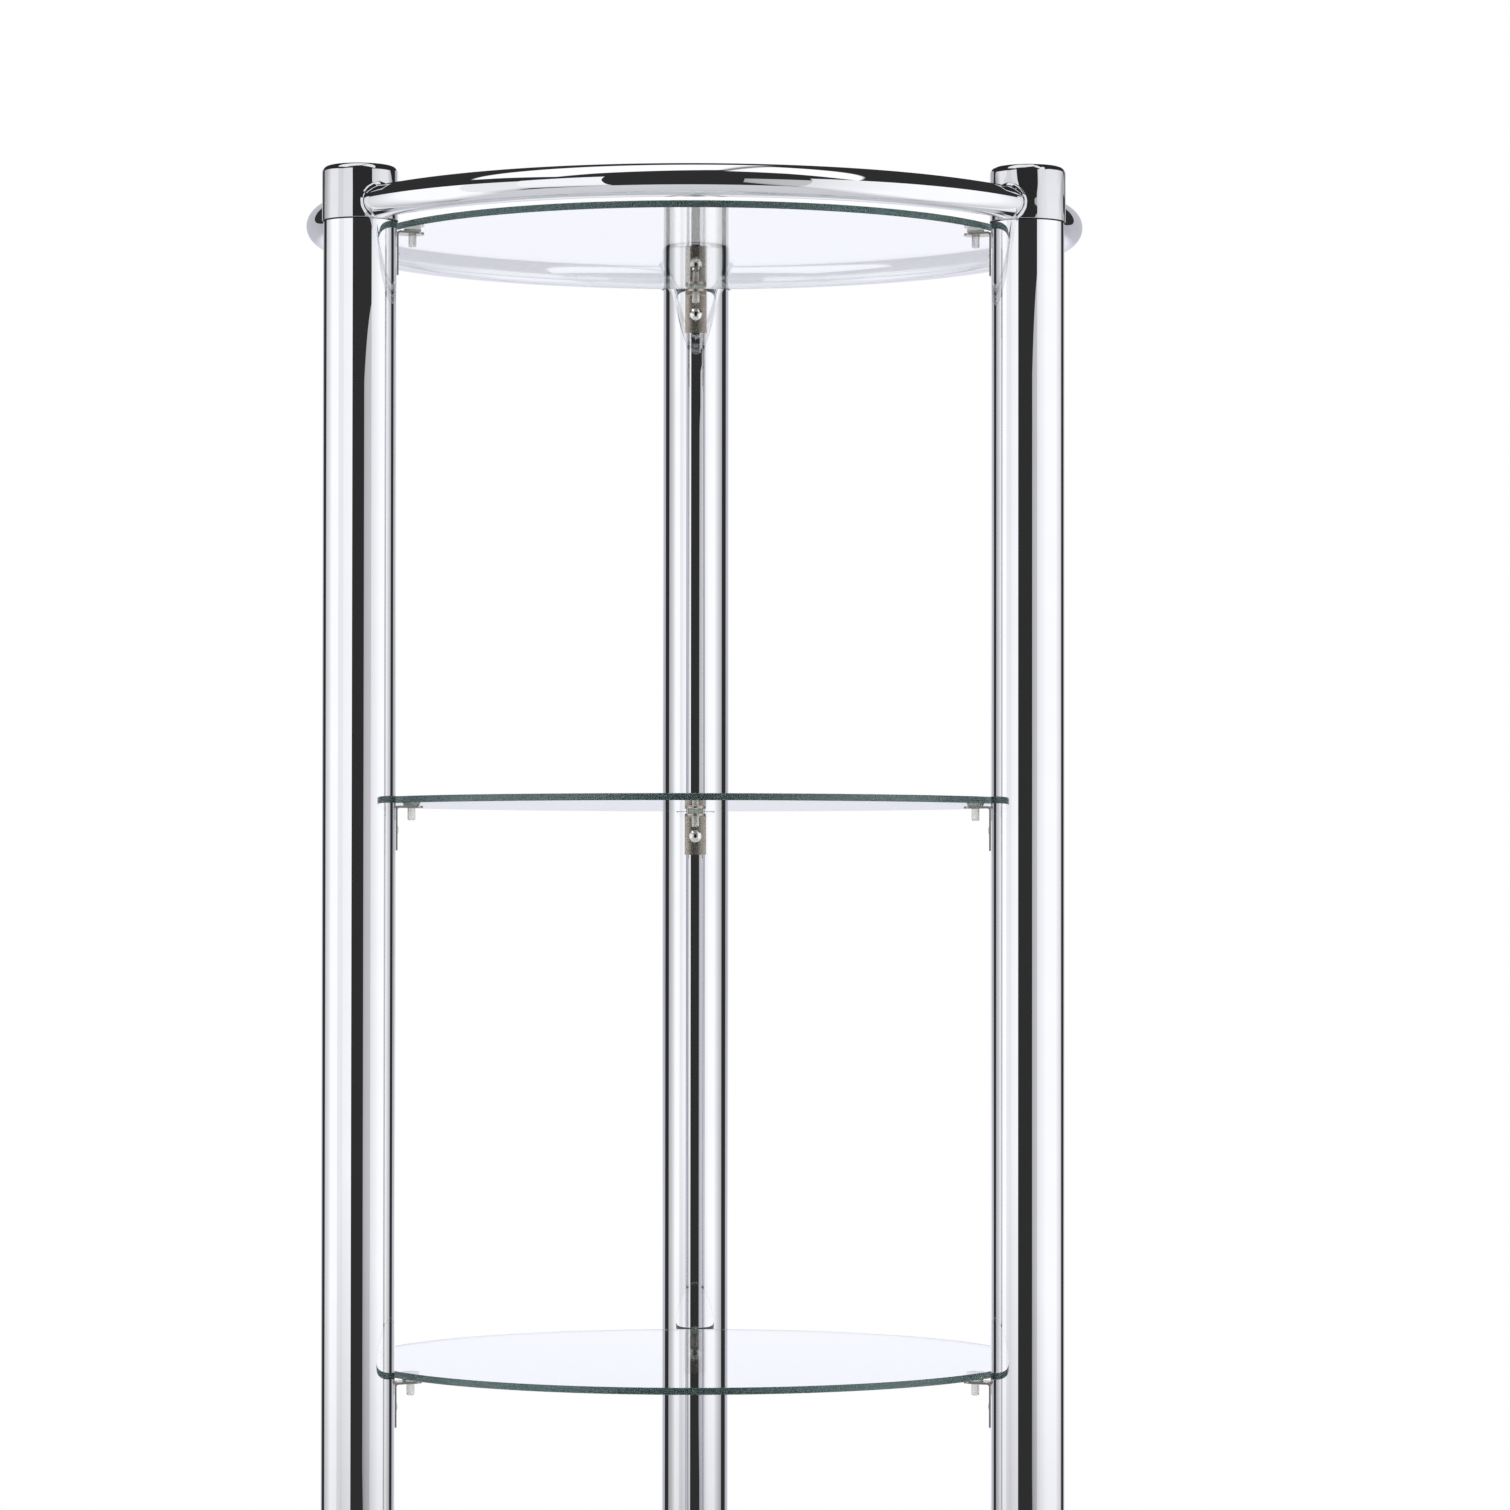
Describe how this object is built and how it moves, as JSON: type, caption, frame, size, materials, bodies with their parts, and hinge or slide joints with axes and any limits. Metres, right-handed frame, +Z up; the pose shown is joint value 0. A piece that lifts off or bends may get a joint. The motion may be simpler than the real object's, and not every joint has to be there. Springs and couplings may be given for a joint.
{
  "type": "round shelf unit",
  "caption": "Tall round display shelf unit: chrome tube posts and ring frames, with loose round glass shelves on small screwed brackets, and levelling feet.",
  "frame": {"origin": "on the floor, on the tower's axis, in the middle of the feet", "axes": "+Z up; -Y is the front, between the front posts; +X to the right seen from the front"},
  "size_m": [0.5552, 0.5704, 1.3253],
  "materials": {
    "chrome": "polished chrome plate",
    "shelf_glass": "clear float glass, green at the ground edge",
    "satin_nickel": "satin nickel plate",
    "bright_screw": "bright nickel plate",
    "clear_plastic": "clear soft plastic",
    "black_plastic": "moulded, fine matt grain",
    "zinc_steel": "bright zinc plate"
  },
  "bodies": {
    "frame": {"front_left_post": "chrome", "front_left_top_hub": "chrome", "front_left_bottom_hub": "chrome", "front_left_top_plug": "black_plastic", "front_left_foot_socket": "black_plastic", "front_right_post": "chrome", "front_right_top_hub": "chrome", "front_right_bottom_hub": "chrome", "front_right_top_plug": "black_plastic", "front_right_foot_socket": "black_plastic", "rear_post": "chrome", "rear_top_hub": "chrome", "rear_bottom_hub": "chrome", "rear_top_plug": "black_plastic", "rear_foot_socket": "black_plastic", "front_top_ring_arc": "chrome", "front_bottom_ring_arc": "chrome", "right_top_ring_arc": "chrome", "right_bottom_ring_arc": "chrome", "left_top_ring_arc": "chrome", "left_bottom_ring_arc": "chrome", "shelf_1_front_left_bracket": "satin_nickel", "shelf_1_front_right_bracket": "satin_nickel", "shelf_1_rear_bracket": "satin_nickel", "shelf_1_bumpers": "clear_plastic", "shelf_1_bracket_screws": "bright_screw", "shelf_1_rivet_nuts": "zinc_steel", "shelf_2_front_left_bracket": "satin_nickel", "shelf_2_front_right_bracket": "satin_nickel", "shelf_2_rear_bracket": "satin_nickel", "shelf_2_bumpers": "clear_plastic", "shelf_2_bracket_screws": "bright_screw", "shelf_2_rivet_nuts": "zinc_steel", "shelf_3_front_left_bracket": "satin_nickel", "shelf_3_front_right_bracket": "satin_nickel", "shelf_3_rear_bracket": "satin_nickel", "shelf_3_bumpers": "clear_plastic", "shelf_3_bracket_screws": "bright_screw", "shelf_3_rivet_nuts": "zinc_steel", "shelf_4_front_left_bracket": "satin_nickel", "shelf_4_front_right_bracket": "satin_nickel", "shelf_4_rear_bracket": "satin_nickel", "shelf_4_bumpers": "clear_plastic", "shelf_4_bracket_screws": "bright_screw", "shelf_4_rivet_nuts": "zinc_steel", "foot_nuts": "zinc_steel"},
    "shelf_1": {"shelf_1_glass": "shelf_glass"},
    "shelf_2": {"shelf_2_glass": "shelf_glass"},
    "shelf_3": {"shelf_3_glass": "shelf_glass"},
    "shelf_4": {"shelf_4_glass": "shelf_glass"},
    "front_left_foot": {"front_left_foot_pad": "black_plastic"},
    "front_left_stud": {"front_left_foot_stud": "zinc_steel"},
    "front_right_foot": {"front_right_foot_pad": "black_plastic"},
    "front_right_stud": {"front_right_foot_stud": "zinc_steel"},
    "rear_foot": {"rear_foot_pad": "black_plastic"},
    "rear_stud": {"rear_foot_stud": "zinc_steel"}
  },
  "joints": [
    {"name": "shelf_1_lift", "type": "slide", "parent": "frame", "child": "shelf_1", "axis": [0, 0, 1], "range_m": [0, 0.15]},
    {"name": "shelf_2_lift", "type": "slide", "parent": "frame", "child": "shelf_2", "axis": [0, 0, 1], "range_m": [0, 0.35]},
    {"name": "shelf_3_lift", "type": "slide", "parent": "frame", "child": "shelf_3", "axis": [0, 0, 1], "range_m": [0, 0.35]},
    {"name": "shelf_4_lift", "type": "slide", "parent": "frame", "child": "shelf_4", "axis": [0, 0, 1], "range_m": [0, 0.35]},
    {"name": "front_left_foot_drop", "type": "slide", "parent": "frame", "child": "front_left_foot", "axis": [0, 0, -1], "range_m": [0, 0.012]},
    {"name": "front_left_stud_turn", "type": "hinge", "parent": "front_left_foot", "child": "front_left_stud", "pos_m": [-0.2308, -0.13325, 0.004], "axis": [0, 0, -1], "range_deg": [0, 3460]},
    {"name": "front_right_foot_drop", "type": "slide", "parent": "frame", "child": "front_right_foot", "axis": [0, 0, -1], "range_m": [0, 0.012]},
    {"name": "front_right_stud_turn", "type": "hinge", "parent": "front_right_foot", "child": "front_right_stud", "pos_m": [0.2308, -0.13325, 0.004], "axis": [0, 0, -1], "range_deg": [0, 3460]},
    {"name": "rear_foot_drop", "type": "slide", "parent": "frame", "child": "rear_foot", "axis": [0, 0, -1], "range_m": [0, 0.012]},
    {"name": "rear_stud_turn", "type": "hinge", "parent": "rear_foot", "child": "rear_stud", "pos_m": [0, 0.2665, 0.004], "axis": [0, 0, -1], "range_deg": [0, 3460]}
  ],
  "couplings": [
    {"joint": "front_left_stud_turn", "follows": "front_left_foot_drop", "rad_per_m": 5026.5},
    {"joint": "front_right_stud_turn", "follows": "front_right_foot_drop", "rad_per_m": 5026.5},
    {"joint": "rear_stud_turn", "follows": "rear_foot_drop", "rad_per_m": 5026.5}
  ]
}
